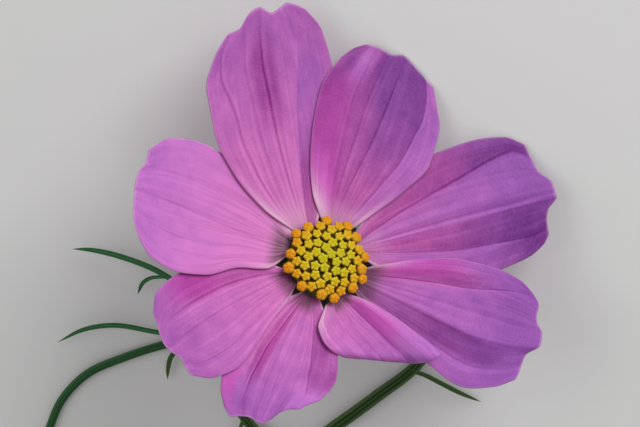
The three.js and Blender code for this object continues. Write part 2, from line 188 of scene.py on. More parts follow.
def newFinish(name):
    material = bpy.data.materials.new(name)
    material.use_nodes = True
    material.node_tree.nodes.clear()
    return material, Tree(material.node_tree)


def finishWith(tree, sockets):
    surface = tree.node("ShaderNodeBsdfPrincipled", None, sockets)
    tree.node("ShaderNodeOutputMaterial", None, {"Surface": surface})


# Objects and meshes
def placed(name, data):
    thing = bpy.data.objects.new(name, data)
    scene.collection.objects.link(thing)
    return thing


def pieceFrom(name, mesh, node):
    mesh.name = name
    piece = placed(name, mesh)
    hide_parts(*([node] if isinstance(node, str) else node))
    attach(piece, "root")


def meshFrom(name, points, faces):  # points in millimetres
    mesh = bpy.data.meshes.new(name)
    mesh.from_pydata((np.asarray(points) * mm).tolist(), [], faces)
    mesh.shade_smooth()
    return mesh


def keep(mesh, spreads):  # values at the points, for the finish to read
    for name, values in spreads.items():
        store = mesh.attributes.new(name, "FLOAT", "POINT")
        store.data.foreach_set("value", np.asarray(values, np.float32))


def lathed(name, section, finish):  # section: radius and height, round from the foot of the outer wall
    steps = 48
    turns = np.arange(steps) * 2 * np.pi / steps
    points = [[radius * math.cos(t), radius * math.sin(t), height]
              for radius, height in section for t in turns]
    faces = []
    for i in range(len(section)):
        a, b = i * steps, (i + 1) % len(section) * steps
        faces += [(a + j, a + (j + 1) % steps, b + (j + 1) % steps, b + j) for j in range(steps)]
    mesh = meshFrom(name, points, faces)
    mesh.materials.append(finish)
    heights = np.array(points)[:, 2]
    keep(mesh, {"low": heights == heights.min()})
    return mesh


def closedSheet(middle, toEdge, form):  # both sides of a blade, which share the points along its edge
    normal = np.cross(np.gradient(middle, axis=0), np.gradient(middle, axis=1))
    normal = normal / np.linalg.norm(normal, axis=-1, keepdims=True)
    half = form["thickness"] / 2 * np.sqrt(ease(toEdge / form["edgeBand"]))[..., None]
    inner = toEdge > 0
    top = np.arange(inner.size).reshape(inner.shape)
    bottom = top.copy()
    bottom[inner] = inner.size + np.arange(inner.sum())
    points = np.concatenate([(middle + half * normal).reshape(-1, 3), (middle - half * normal)[inner]])
    faces = []
    for grid, turn in ((top, 1), (bottom, -1)):
        corners = np.stack([grid[:-1, :-1], grid[1:, :-1], grid[1:, 1:], grid[:-1, 1:]], axis=-1)
        faces += corners.reshape(-1, 4)[:, ::turn].tolist()
    return points, faces, bottom


def joined(name, meshes):
    whole = bmesh.new()
    materials = []
    for mesh in meshes:
        places = []
        for material in mesh.materials:
            if material not in materials:
                materials.append(material)
            places.append(materials.index(material))
        first = len(whole.faces)
        whole.from_mesh(mesh)
        whole.faces.ensure_lookup_table()
        for face in whole.faces[first:]:
            face.material_index = places[face.material_index]
    mesh = bpy.data.meshes.new(name)
    whole.to_mesh(mesh)
    whole.free()
    for material in materials:
        mesh.materials.append(material)
    return mesh


# Petals, clockwise from the top of the bloom. Claw is the left and right half width at the root, left
# and right are the half widths further out; tip is how far the edge falls short of the length, from the
# right shoulder to the left one; layer lifts the left and right half over (+) or under (-) the
# neighbours. Creases run lengthwise: where they are across the petal (near the disc, halfway, near the
# tip; left is +1, right is -1), half width, groove depth and the step up towards the left.
# Cast makes the whole petal more violet (+) or pinker (-), depth makes it darker or lighter, and throat
# is how pale its root is. Cast and depth are partly the petal's own colour and partly painted light and
# shade, for how much light each petal gets. Each crease also gets a painted shade line in its groove and
# a painted highlight beside it. Tones are bands between a left and a right edge, with how soft each edge
# is, and then the strokes in that band: kind (violet, deep, vivid, pale or shade), start and end along the
# petal, and 1 for more or -1 for less. The bands are partly the petal's own colour and partly painted
# shade and light of its folds; the shade strokes are painted shadow of the disc over the roots, partly
# their own grey-green.
petalRows = [
    {"lean": -9, "length": 41.6, "claw": [2.9, 1.6], "left": [8.2, 12.7, 15.1, 15.1, 12.4, 9.1],
     "right": [4, 7.4, 9.4, 9.6, 8.8, 6.4], "tip": [1.9, 0.7, 0.1, 0.8, 1.4, 0, 1, 3.4, 3.9],
     "layer": [0.42, -0.42], "wave": 0.25, "phase": 0.1, "droop": 0.8,
     "creases": [([0.19, 0.21, 0.25], 0.03, 0.3, -0.25), ([0.65, 0.67, 0.9], 0.07, 0.3, -0.15),
                 ([0.4, 0.43, 0.5], 0.06, 0.14, 0), ([0.02, -0.12, -0.46], 0.06, -0.1, 0.3)],
     "cast": -0.2, "depth": 0, "throat": 0.6,
     "tones": [
         ([0.42, 0.4, 0.4], [0, 0.06, 0.1], 0.15, 0.12, ("deep", 0.5, 0.85, 1)),
         ([0.02, -0.12, -0.46], [-0.75, -0.75, -0.95], 0.06, 0.1, ("violet", 0.15, 0.76, 1),
          ("pale", -0.2, 0.1, -1), ("deep", -0.1, 0.35, 1))]},
    {"lean": 2, "length": 34.6, "claw": [2.4, 2.1], "left": [6.4, 9.5, 11.5, 12.4, 11.1, 9.2],
     "right": [4.9, 8.8, 11.6, 11.1, 8.8, 7.2], "tip": [3.6, 2.7, 1.8, 0.8, 0, 0.7, 0.6, 0.8, 2.4],
     "layer": [0.42, 0.42], "wave": 0.2, "phase": 0.5, "droop": 1.2,
     "creases": [([0.12, -0.02, -0.05], 0.04, 0.25, 0), ([0.45, 0.5, 0.55], 0.05, -0.15, 0),
                 ([-0.5, -0.57, -0.76], 0.1, 0.3, 0.1), ([0.3, 0.26, 0.28], 0.08, 0.15, 0)],
     "cast": -0.1, "depth": 0.3, "throat": 0.6,
     "tones": [
         (1.3, [0.45, 0.55, 0.7], 0.1, 0.3, ("deep", -0.2, 0.33, -1)),
         ([0.1, 0.1, 0.3], [-0.5, -0.57, -0.76], 0.3, 0.1, ("violet", 0.4, 1.1, 1)),
         ([-0.5, -0.57, -0.76], -1.3, 0.08, 0.1, ("deep", -0.1, 1.1, -1), ("violet", -0.1, 0.8, 1)),
         (1.3, [0.3, 0.45, 0.6], 0.2, 0.3, ("vivid", 0.05, 0.78, 1)),
         (0.72, 0.42, 0.15, 0.15, ("deep", 0.78, 1.02, -1)),
         (1.3, 0.6, 0.1, 0.2, ("pale", -0.2, 0.16, 1))]},
    {"lean": -10, "length": 38.6, "claw": [1.6, 1], "left": [7, 11.2, 13.3, 13.8, 13.1, 10.8],
     "right": [5.6, 9.2, 11.2, 10.4, 9.4, 7.8], "tip": [4.5, 3.1, 3, 2.3, 0.2, 0.3, 2.2, 2.8, 3.4],
     "layer": [-0.42, -0.42], "wave": 0.3, "phase": 0.8, "droop": 0.75,
     "creases": [([0.36, 0.53, 0.8], 0.08, 0.25, -0.2), ([0.07, 0.07, 0.07], 0.03, 0.25, 0.15),
                 ([0.01, 0.02, 0.02], 0.03, -0.15, 0), ([-0.32, -0.44, -0.62], 0.08, 0.2, 0.25)],
     "cast": 0.3, "depth": 0, "throat": 0.3,
     "tones": [
         (1.3, [0.34, 0.48, 0.76], 0.1, 0.1, ("deep", -0.1, 1.1, 1)),
         (-0.62, -1.3, 0.1, 0.1, ("deep", 0.68, 1.1, 1)),
         (1.3, 0.34, 0.1, 0.1, ("pale", -0.2, 0.1, -1)),
         (1.3, [0.3, 0.5, 0.8], 0.1, 0.2, ("violet", -0.1, 0.6, -1)),
         ([-0.03, -0.03, 0], [-0.3, -0.44, -0.64], 0.05, 0.1, ("deep", 0.1, 1.1, 1),
          ("violet", -0.1, 0.5, -1)),
         (1.3, 0.5, 0.1, 0.1, ("deep", -0.3, 0.1, -1)),
         ([-0.6, -0.6, -0.85], -1.3, 0.1, 0.1, ("deep", 0.1, 0.5, 1), ("violet", 0, 0.5, -1))]},
    {"lean": 1, "length": 36.5, "claw": [1.3, 2.4], "left": [3.7, 6.7, 8.6, 8.9, 8, 6.4],
     "right": [4.9, 8.2, 11.8, 13.9, 12.1, 9.4], "tip": [2.5, 2.2, 2.2, 0.5, 0.8, 2.3, 2.9, 3, 4.8],
     "layer": [0.42, -1.8], "wave": 0.2, "phase": 0.3, "droop": 0.8,
     "creases": [([0.36, 0.42, 0.75], 0.09, 0.3, -0.15), ([-0.22, -0.27, -0.3], 0.04, -0.2, 0.2),
                 ([0.0, 0.0, 0.0], 0.05, 0.12, 0), ([-0.6, -0.66, -0.7], 0.06, 0.15, 0.1)],
     "cast": 0.3, "depth": 0, "throat": 0.3,
     "tones": [
         ([0.68, 0.72, 0.95], [0.3, 0.42, 0.66], 0.14, 0.1, ("deep", -0.1, 0.62, 1)),
         ([0.8, 0.8, 1.1], [0.25, 0.35, 0.6], 0.15, 0.15, ("violet", -0.1, 0.62, -1)),
         ([-0.28, -0.3, -0.4], [-0.5, -0.6, -0.66], 0.05, 0.08, ("deep", 0.3, 0.86, 1)),
         (1.3, [0.5, 0.6, 0.85], 0.1, 0.1, ("vivid", 0.1, 0.5, 1)),
         ([0.5, 0.4, 0.4], 0, 0.2, 0.2, ("deep", -0.2, 0.17, 1)),
         ([0.9, 0.6, 0.5], -1.3, 0.3, 0.2, ("shade", -0.2, 0.12, 1))]},
    {"lean": 15, "length": 21, "claw": [1, 3.4], "left": [2.1, 3.3, 4.3, 4.9, 5.4, 5.3],
     "right": [7.9, 9.1, 8.5, 7.7, 7, 6], "tip": [7, 4, 2, 0.7, 0, -0.2, -0.3, 0, 0.4],
     "layer": [1.9, 1], "wave": 0, "phase": 0, "droop": 0,
     "fold": {"azimuth": -148, "distance": 16.3, "radius": 1.5, "turn": 150},
     "creases": [([0.2, 0.18, 0.16], 0.1, 0.4, 0), ([0.75, 0.8, 0.85], 0.07, -0.15, -0.1),
                 ([-0.15, -0.3, -0.4], 0.05, 0.16, 0), ([-0.3, -0.52, -0.62], 0.06, 0.12, 0)],
     "cast": 0, "depth": 0, "throat": 0.3,
     "tones": [
         (0.24, 0.08, 0.1, 0.08, ("deep", -0.1, 0.7, 1)),
         (0.6, 0.22, 0.1, 0.06, ("deep", 0.1, 0.8, -1)),
         (0.7, 0.22, 0.2, 0.08, ("vivid", 0.1, 0.6, 1)),
         (1.3, [0.45, 0.38, 0.36], 0.1, 0.12, ("deep", 0.05, 1.2, -1)),
         ([0.5, 0.3, 0.3], [-0.4, -0.2, -0.2], 0.3, 0.2, ("shade", -0.2, 0.12, 1))]},
    {"lean": -5, "length": 31, "claw": [1.8, 1.5], "left": [5, 8.5, 9.9, 8.8, 6.6, 5.8],
     "right": [4.4, 7.4, 9.4, 9.8, 8.7, 6.7], "tip": [1.3, 0.1, 1.2, 1.7, 1.6, 2.8, 5.6, 7.2, 8],
     "layer": [-0.42, -0.42], "wave": 0.2, "phase": 0.7, "droop": 0.8,
     "creases": [([0.0, 0.0, 0.0], 0.05, 0.12, 0), ([-0.34, -0.4, -0.48], 0.06, 0.4, 0.1),
                 ([0.36, 0.5, 0.84], 0.1, 0.3, 0), ([-0.14, -0.16, -0.16], 0.05, 0.12, 0)],
     "cast": 0, "depth": 0, "throat": 0,
     "tones": [
         (1.1, [0.36, 0.5, 0.82], 0.1, 0.1, ("deep", 0.15, 0.66, 1)),
         (1.3, [0.4, 0.4, 0.5], 0.1, 0.2, ("deep", 0.7, 0.95, -1)),
         ([-0.24, -0.28, -0.34], [-0.55, -0.56, -0.55], 0.07, 0.1, ("deep", 0.1, 0.72, 1)),
         ([-0.2, -0.26, -0.3], -1.3, 0.08, 0.1, ("violet", -0.1, 0.65, -1)),
         (1.3, 0.8, 0.1, 0.1, ("deep", 0.12, 0.36, -1)),
         ([-0.66, -0.66, -0.7], -1.3, 0.1, 0.1, ("vivid", 0.62, 0.92, 1), ("violet", 0.62, 0.92, -1)),
         ([0.36, 0.3, 0.3], [-0.8, -0.5, -0.4], 0.4, 0.2, ("shade", -0.2, 0.12, 1))]},
    {"lean": 11, "length": 31.4, "claw": [1.8, 1], "left": [3.5, 5, 7, 8.4, 7.5, 4.9],
     "right": [5, 8.5, 10.5, 11.2, 10.6, 7.7], "tip": [1.8, 1.3, 0.5, 0, 0.5, 1.2, 1.1, 0.9, 0.9],
     "layer": [0.42, -0.42], "wave": 0.2, "phase": 0.4, "droop": 0.8,
     "creases": [([0.5, 0.54, 0.56], 0.07, 0.22, 0), ([-0.1, -0.15, -0.14], 0.04, 0.16, 0),
                 ([-0.45, -0.5, -0.5], 0.08, 0.18, 0)],
     "cast": -0.2, "depth": 0, "throat": 0,
     "tones": [
         ([-0.4, -0.42, -0.5], -1.3, 0.1, 0.1, ("deep", 0.1, 0.74, 1), ("violet", 0, 0.7, -1)),
         ([-0.5, -0.55, -0.6], -1.3, 0.1, 0.1, ("vivid", 0.45, 0.8, 1)),
         ([0.9, 0.6, 0.4], [-0.5, -0.45, -0.4], 0.3, 0.2, ("shade", -0.2, 0.12, 1))]},
    {"lean": 10, "length": 33.7, "claw": [1.4, 2.8], "left": [5.3, 6.9, 10.2, 11.3, 10.1, 7.2],
     "right": [5.6, 9.8, 12, 12.8, 11.8, 8.6], "tip": [1.4, 1.4, 0.4, 0.1, 0.4, 0.6, 0.9, 1.6, 2.7],
     "layer": [0.42, -0.42], "wave": 0.25, "phase": 0.9, "droop": 0.8,
     "creases": [([0.12, -0.01, -0.08], 0.04, 0.25, 0), ([0.5, 0.46, 0.4], 0.08, 0.13, 0),
                 ([-0.4, -0.44, -0.5], 0.08, 0.14, 0)],
     "cast": -0.2, "depth": -0.3, "throat": 0.6,
     "tones": [
         ([0.85, 0.6, 0.6], [-0.6, -0.3, -0.3], 0.3, 0.3, ("shade", -0.2, 0.12, 1))]},
]
petalBlade = {
    "columns": 72,
    "rows": 76,
    "foldedRows": 110,
    "thickness": 0.36,
    "edgeBand": 0.05,
    "edgeColumn": 0.012,
    "layerStart": 6,
    "layerRun": 5,
    "layerFrom": 0.1,
    "layerWidth": 0.6,
    "waves": 2.2,
    "seedStep": 3.7,
}
petalTone = {
    "violet": [0.15, 0.45, 0.8],  # near the disc, halfway and near the tip, on every petal
    "deep": [0.2, 0.25, 0.4],
    "strength": {"violet": 0.4, "deep": 0.4, "vivid": 0.7, "pale": 0.4, "shade": 0.8},
    "clawLength": 0.2,
    "marginFrom": 0.7,
    "marginWidth": 0.25,
    "marginLength": 0.34,
    "marginRun": 0.3,
    "marginPale": 0.6,
    "softEnd": 0.24,
    "softShadeEnd": 0.1,
}
widthStations = [0, 0.12, 0.3, 0.5, 0.7, 0.88, 1]
tipStations = [-1, -0.75, -0.5, -0.25, 0, 0.25, 0.5, 0.75, 1]
lengthStations = [0.1, 0.5, 0.9]


def onThePetal(values, along):  # one value, or three along the petal
    first, last = lengthStations[0], lengthStations[-1]
    return curveThrough(lengthStations, np.broadcast_to(values, 3))(np.clip(along, first, last))


def rolledUnder(fold, x, y, height):  # the outer margin turns under about a straight line
    outX, outY = math.cos(math.radians(fold["azimuth"])), math.sin(math.radians(fold["azimuth"]))
    past = np.maximum(x * outX + y * outY - fold["distance"], 0)
    angle = np.minimum(past / fold["radius"], math.radians(fold["turn"]))
    flat = past - fold["radius"] * angle
    reach = fold["radius"] * np.sin(angle) + flat * np.cos(angle)
    drop = fold["radius"] * (1 - np.cos(angle)) + flat * np.sin(angle)
    back = past - reach
    slope = math.tan(math.radians(bloom["cupSlope"]))
    return x - back * outX, y - back * outY, height - drop - back * slope


def petalSheet(row, index, along, across):  # the petal's middle surface
    root = math.radians(bloom["firstPetal"] - index * 360 / bloom["petalCount"])
    aim = root + math.radians(row["lean"])
    slope = math.radians(bloom["cupSlope"])
    left = curveThrough(widthStations, [row["claw"][0], *row["left"]])(along)
    right = curveThrough(widthStations, [row["claw"][1], *row["right"]])(along)
    offAxis = across * np.where(across >= 0, left, right)
    shortfall = curveThrough(tipStations, row["tip"])(across) * along ** 3
    outward = (row["length"] * along - shortfall) * math.cos(slope)
    x = bloom["rootRadius"] * math.cos(root) + outward * math.cos(aim) - offAxis * math.sin(aim)
    y = bloom["rootRadius"] * math.sin(root) + outward * math.sin(aim) + offAxis * math.cos(aim)
    radius = np.hypot(x, y)
    layer = np.where(across >= 0, *row["layer"])
    layer = layer * ease((abs(across) - petalBlade["layerFrom"]) / petalBlade["layerWidth"])
    layer = layer * ease((radius - petalBlade["layerStart"]) / petalBlade["layerRun"])
    turns = petalBlade["waves"] * along + row["phase"]
    wave = row["wave"] * along * across ** 2 * np.sin(2 * np.pi * turns)
    height = (radius - bloom["rootRadius"]) * math.tan(slope) + layer + wave - row["droop"] * along ** 4
    for places, halfWidth, depth, step in row["creases"]:
        offset = (across - onThePetal(places, along)) / halfWidth
        groove = -depth * np.exp(-offset ** 2) + 0.5 * step * np.tanh(offset) * np.exp(-(offset / 4) ** 2)
        height = height + groove * ease(along * 2.2)
    if "fold" in row:
        x, y, height = rolledUnder(row["fold"], x, y, height)
    return bloomPoints(x, y, height)


def petalTones(row, along, across):
    creases = row["creases"]
    offsets = np.stack([across - onThePetal(places, along) for places, halfWidth, depth, step in creases])
    nearest = abs(offsets).argmin(axis=0)
    depths = np.array([depth for places, halfWidth, depth, step in creases])
    claw = ease(1 - along / petalTone["clawLength"])
    margin = ease((abs(across) - petalTone["marginFrom"]) / petalTone["marginWidth"])
    margin = margin * ease((petalTone["marginLength"] - along) / petalTone["marginRun"])
    # cast and depth: partly each petal's own colour, partly painted light and shade for the light it gets
    tones = {"violet": onThePetal(petalTone["violet"], along) + row["cast"],
             "deep": onThePetal(petalTone["deep"], along) + row["depth"],
             "pale": row["throat"] * claw + petalTone["marginPale"] * margin,
             "shade": np.zeros(along.shape), "vivid": np.zeros(along.shape),
             # the nearest crease, and how strongly its painted shade line and the painted highlight beside it
             # are drawn
             "crease": np.take_along_axis(offsets, nearest[None], axis=0)[0],
             "creaseShadeAndGlint": depths[nearest] * ease(along * 6) * ease((1 - along) / 0.25)}
    # bands: partly own colour, partly painted fold shade and light and painted disc shadow on the roots
    for leftEdge, rightEdge, softLeft, softRight, *strokes in row["tones"]:
        band = ease((onThePetal(leftEdge, along) - across) / softLeft + 0.5)
        band = band * ease((across - onThePetal(rightEdge, along)) / softRight + 0.5)
        for kind, start, end, sign in strokes:
            soft = petalTone["softShadeEnd" if kind == "shade" else "softEnd"]
            stroke = band * ease((along - start) / soft + 0.5) * ease((end - along) / soft + 0.5)
            tones[kind] = tones[kind] + sign * petalTone["strength"][kind] * stroke
    return tones


def stationsTo(count, edge):  # evenly spaced from -1 to 1, with a narrow first and last step
    return np.concatenate([[-1], np.linspace(-1 + edge, 1 - edge, count - 1), [1]])


def petalMesh(row, index):
    rows = petalBlade["foldedRows" if "fold" in row else "rows"]
    acrossRow = stationsTo(petalBlade["columns"], petalBlade["edgeColumn"] * 2)
    alongRow = (stationsTo(rows, petalBlade["edgeColumn"]) + 1) / 2
    along, across = np.meshgrid(alongRow, acrossRow, indexing="ij")
    toEdge = np.minimum(np.minimum(1 - abs(across), 2 * (1 - along)), 2 * along)
    points, faces, bottom = closedSheet(petalSheet(row, index, along, across), toEdge, petalBlade)
    mesh = meshFrom(f"petal{index + 1}", points, faces)
    spreads = {"across": across, "along": along, **petalTones(row, along, across)}
    keep(mesh, {name: np.append(values, values[toEdge > 0]) for name, values in spreads.items()})
    keep(mesh, {"seed": np.full(len(points), index * petalBlade["seedStep"]),
                "under": np.arange(len(points)) >= along.size})
    return mesh


petalColours = {
    "pink": (0.73, 0.22, 0.585),
    "violet": (0.42, 0.135, 0.55),
    "vivid": (0.67, 0.10, 0.56),
    "deepMagenta": (0.33, 0.012, 0.24),
    "deepViolet": (0.12, 0.008, 0.165),
    "pale": (0.84, 0.50, 0.71),
    "vein": (0.30, 0.05, 0.21),
    "throatShade": (0.10, 0.04, 0.05),
    "rim": (0.86, 0.55, 0.80),
    "underside": (0.66, 0.30, 0.60),
    "veinStrength": 0.3,
}


def petalFinish():
    material, tree = newFinish("petalSatin")
    paint = petalColours
    across, along = tree.attribute("across"), tree.attribute("along")
    seed, under = tree.attribute("seed"), tree.attribute("under")
    ribs = tree.noise(tree.vector(across * 9, along * 0.9, seed), 1.0, 1, 0.4)
    fineVeins = tree.noise(tree.vector(across * 42, along * 1.6, seed), 1.0, 2, 0.6)
    mottle = tree.noise(tree.vector(across * 4, along * 9, seed), 1.0, 3)
    wrinkles = tree.noise(tree.vector(across * 16, along * 110, seed), 1.0, 2, 0.6) - 0.5
    fine = tree.between(fineVeins, 0.5, 0.75) * tree.between(along, 0.0, 0.35)
    lines = tree.between(abs(ribs - 0.5), 0.1, 0.01) * 0.7 + fine * 0.45
    band = tree.between(ribs, 0.5, 0.3) * 0.1
    # the tones carry painted fold shade and light over the petal's own colour
    violet = tree.attribute("violet") + (mottle - 0.5) * 0.5
    deep = tree.attribute("deep") - band + (mottle - 0.5) * 0.35 + wrinkles * 0.4
    crease = tree.attribute("crease") + (mottle - 0.5) * 0.02
    # painted shade along each crease's groove, and a fainter painted highlight just beside it
    edge = tree.between(abs(crease), 0.03, 0.004) - tree.between(abs(crease + 0.04), 0.03, 0.004) * 0.5
    deep = deep + edge * tree.attribute("creaseShadeAndGlint")
    base = tree.blend(violet, paint["pink"], paint["violet"])
    base = tree.blend(tree.attribute("vivid"), base, paint["vivid"])
    dark = tree.blend(violet, paint["deepMagenta"], paint["deepViolet"])
    colour = tree.blend(deep, base, dark)
    colour = tree.blend(tree.attribute("pale"), colour, paint["pale"])
    colour = tree.blend(lines * tree.between(along, 1.1, 0.1) * paint["veinStrength"], colour, paint["vein"])
    sideRim = tree.between(abs(across), 0.972, 0.995)
    tipRim = tree.between(along, 0.985, 0.998)
    rim = (sideRim * tree.between(along, 0.02, 0.2) + tipRim) * 0.3
    colour = tree.blend(rim, colour, paint["rim"])
    colour = tree.blend(tree.attribute("shade") * (0.75 + lines * 0.4), colour, paint["throatShade"])
    colour = tree.blend(under * 0.5, colour, paint["underside"])
    relief = fineVeins * 0.3 + ribs * 0.7 - lines * 0.3 + wrinkles * 0.3
    finishWith(tree, {
        "Base Color": colour,
        "Roughness": 0.5 + lines * 0.12 + under * 0.1,
        "Specular IOR Level": 0.18,
        "Sheen Weight": 0.04,
        "Sheen Roughness": 0.4,
        "Subsurface Weight": 0.12,
        "Subsurface Scale": 0.0006,
        "Subsurface Radius": (1.0, 0.5, 0.8),
        "Normal": tree.bump(relief, 0.5, 0.22),
    })
    return material


petalSatin = petalFinish()
for index, row in enumerate(petalRows):
    blade = petalMesh(row, index)
    blade.materials.append(petalSatin)
    pieceFrom(f"petalBlade_{index + 1}", blade, f"petal_{index + 1}")
print("petals made:", len(petalRows))


# Disc of closed florets: one spiral, yellow stars within, then golden ones, then round orange buds
disc = {
    "allBuds": 58,
    "radius": 7,
    "domeTop": 3.3,
    "domeEdge": 1.7,
    "lean": 0.07,
    "sizeSpread": 0.06,
    "seed": 4,
    "budSides": 40,
    "starSeam": 0.14,
    "roundSeam": 0.08,
    "bedMiddle": 0.02,
    "bedSplit": 5.3,
    "bedEdge": 6.5,
    "bedFoot": -0.6,
    "young": {"first": 0, "count": 32, "size": 1.0},
    "golden": {"first": 32, "count": 12, "size": 1.05},
    "ripe": {"first": 44, "count": 14, "size": 1.15},
}
# Rings up a floret: height, half width at its five lobes and at the grooves between them
starRings = [(-2.3, 0.3, 0.3), (-0.2, 0.46, 0.46), (0.3, 0.7, 0.68), (0.65, 0.83, 0.77), (0.95, 0.92, 0.79),
             (1.18, 0.97, 0.76), (1.36, 0.94, 0.7), (1.48, 0.78, 0.58), (1.55, 0.5, 0.38), (1.53, 0.2, 0.15)]
roundRings = [(-2.3, 0.3, 0.3), (-0.3, 0.4, 0.4), (0.15, 0.66, 0.64), (0.5, 0.84, 0.8), (0.85, 0.91, 0.86),
              (1.15, 0.89, 0.83), (1.4, 0.77, 0.7), (1.56, 0.57, 0.5), (1.64, 0.34, 0.29), (1.65, 0.14, 0.11)]


def budObject(name, rings, seam, pointed):  # seam: how deep the five grooves cut into the top
    sides = disc["budSides"]
    turns = np.arange(sides) * 2 * np.pi / sides
    lobes = 1 - abs(np.sin(2.5 * turns)) ** pointed
    points, faces = [], []
    for height, lobe, groove in rings:
        reach = groove + (lobe - groove) * lobes
        sag = seam * (1 - lobes) * (height > 0.8)
        points += np.stack([reach * np.cos(turns), reach * np.sin(turns), height - sag], axis=1).tolist()
    last = (len(rings) - 1) * sides
    points += [[0, 0, rings[0][0]], [0, 0, rings[-1][0] - 0.06]]
    for j in range(sides):
        k = (j + 1) % sides
        for low in range(0, last, sides):
            faces.append((low + j, low + k, low + sides + k, low + sides + j))
        faces.append((k, j, len(points) - 2))
        faces.append((last + j, last + k, len(points) - 1))
    mesh = meshFrom(name, points, faces)
    x, y, z = np.array(points).T
    fromAxis = np.hypot(x, y)
    # crown is highest at the top middle; the sides below it take the darker colour, partly painted shade
    crown = np.clip((z - 0.2) / 1.2, 0, 1) * np.clip(1.15 - fromAxis, 0, 1)
    # rim is the upper outer ring of each floret, where a painted highlight goes
    rim = ease((z - 0.9) / 0.4) * ease((fromAxis - 0.5) / 0.35)
    keep(mesh, {"crown": crown, "rim": rim})
    return placed(name, mesh)


def newGrowth(name, inputs):  # a geometry tree with named inputs
    group = bpy.data.node_groups.new(name, "GeometryNodeTree")
    group.interface.new_socket("Geometry", in_out="OUTPUT", socket_type="NodeSocketGeometry")
    for label, kind in inputs.items():
        group.interface.new_socket(label, in_out="INPUT", socket_type=f"NodeSocket{kind}")
    tree = Tree(group)
    start = tree.node("NodeGroupInput")
    return group, tree, start


def grown(name, group, values):  # runs the tree and gives its result as a plain mesh
    carrier = placed(name, bpy.data.meshes.new(name))
    modifier = carrier.modifiers.new("growth", "NODES")
    modifier.node_group = group
    for item in group.interface.items_tree:
        if item.in_out == "INPUT":
            modifier[item.identifier] = values[item.name]
    bpy.context.view_layer.update()
    mesh = bpy.data.meshes.new_from_object(carrier.evaluated_get(bpy.context.evaluated_depsgraph_get()))
    carrier.modifiers.clear()
    bpy.data.objects.remove(carrier)
    return mesh


def floretSpiral():
    group, tree, start = newGrowth("floretSpiral", {
        "Bud": "Object", "Count": "Int", "First": "Int", "All Buds": "Int", "Disc Radius": "Float",
        "Dome Top": "Float", "Dome Edge": "Float", "Lean": "Float", "Size": "Float",
        "Size Spread": "Float", "Seed": "Int", "Finish": "Material"})
    place = tree.node("GeometryNodeInputIndex") + start["First"]
    share = (place + 0.5) / start["All Buds"]
    radius = start["Disc Radius"] * share ** 0.5
    angle = place * (math.pi * (3 - math.sqrt(5)))
    x, y = radius * tree.maths("COSINE", angle), radius * tree.maths("SINE", angle)
    height = start["Dome Top"] + (start["Dome Edge"] - start["Dome Top"]) * share
    points = tree.node("GeometryNodePoints", None, {
        "Count": start["Count"], "Position": tree.vector(x, y, height)})
    spin = tree.random(0.0, 2 * math.pi, start["Seed"])
    spread = tree.random(-1.0, 1.0, start["Seed"] + 1)
    outward = tree.vector(x * start["Lean"], y * start["Lean"], 1.0)
    upright = tree.node("FunctionNodeAlignRotationToVector", {"axis": "Z"}, {"Vector": outward})
    turned = tree.node("FunctionNodeRotateRotation", {"rotation_space": "LOCAL"}, {
        "Rotation": upright,
        "Rotate By": tree.node("FunctionNodeAxisAngleToRotation", None, {"Axis": (0, 0, 1), "Angle": spin})})
    size = start["Size"] * (1 + spread * start["Size Spread"])
    buds = tree.planted(tree.noted(points, "age", share), start["Bud"], turned, size)
    tree.endWith(buds, start["Finish"])
    return group


def discFloor(name, innerRadius, outerRadius, finish):  # the bed that the florets stand in
    stations, foot = np.linspace(outerRadius, innerRadius, 6), disc["bedFoot"]
    heights = disc["domeTop"] + (disc["domeEdge"] - disc["domeTop"]) * (stations / disc["radius"]) ** 2
    return lathed(name, [(outerRadius, foot), *zip(stations, heights), (innerRadius, foot)], finish)


floretColours = {
    "young": (0.55, 0.49, 0.002),
    "golden": (0.68, 0.46, 0.002),
    "ripe": (0.72, 0.29, 0.001),
    # groove colours: darker orange for each floret's low sides, partly own colour, partly painted shade
    "youngGroove": (0.26, 0.16, 0.001),
    "ripeGroove": (0.34, 0.10, 0.001),
    # rim: painted highlight on the florets' upper edges
    "rim": (0.86, 0.74, 0.09),
    # bed and bedLight: dark brown, partly the bed's own colour and partly painted shade under the florets
    "bed": (0.12, 0.06, 0.002),
    "bedLight": (0.22, 0.12, 0.003),
    "wall": (0.10, 0.14, 0.03),
}


def floretFinish():
    material, tree = newFinish("floretWax")
    paint = floretColours
    age, crown = tree.attribute("age"), tree.attribute("crown")
    place = tree.objectPlace()
    grain = tree.noise(place, 1800, 2)
    patch = tree.noise(place, 420, 2)
    ripe = tree.between(age + (patch - 0.5) * 0.4, 0.35, 0.95)
    colour = tree.blend(tree.between(age + (patch - 0.5) * 0.5, 0.0, 0.5), paint["young"], paint["golden"])
    colour = tree.blend(ripe, colour, paint["ripe"])
    groove = tree.blend(ripe, paint["youngGroove"], paint["ripeGroove"])
    # low sides: partly their own orange, partly painted shade between florets; the top middle a little darker
    colour = tree.blend(tree.between(crown, 0.5, 0.05), colour, groove)
    colour = tree.blend(tree.between(crown, 0.85, 1.1) * 0.25, colour, groove)
    # painted highlight on each floret's upper rim
    colour = tree.blend(tree.attribute("rim") * (0.5 - ripe * 0.3) * (0.5 + grain), colour, paint["rim"])
    finishWith(tree, {
        "Base Color": colour,
        "Roughness": 0.45 + grain * 0.2,
        "Specular IOR Level": 0.2,
        "Subsurface Weight": 0.1,
        "Subsurface Scale": 0.0003,
        "Subsurface Radius": (1.0, 0.6, 0.1),
        "Normal": tree.bump(grain, 0.3, 0.05),
    })
    return material


def bedFinish():
    material, tree = newFinish("floretBed")
    grain = tree.noise(tree.objectPlace(), 900, 3)
    # dark: partly the bed's own colour, partly painted shade under the florets
    colour = tree.blend(grain, floretColours["bed"], floretColours["bedLight"])
    wall = tree.between(tree.attribute("low"), 0.05, 0.3)
    finishWith(tree, {
        "Base Color": tree.blend(wall, colour, floretColours["wall"]),
        "Roughness": 0.8,
        "Specular IOR Level": 0.1,
    })
    return material


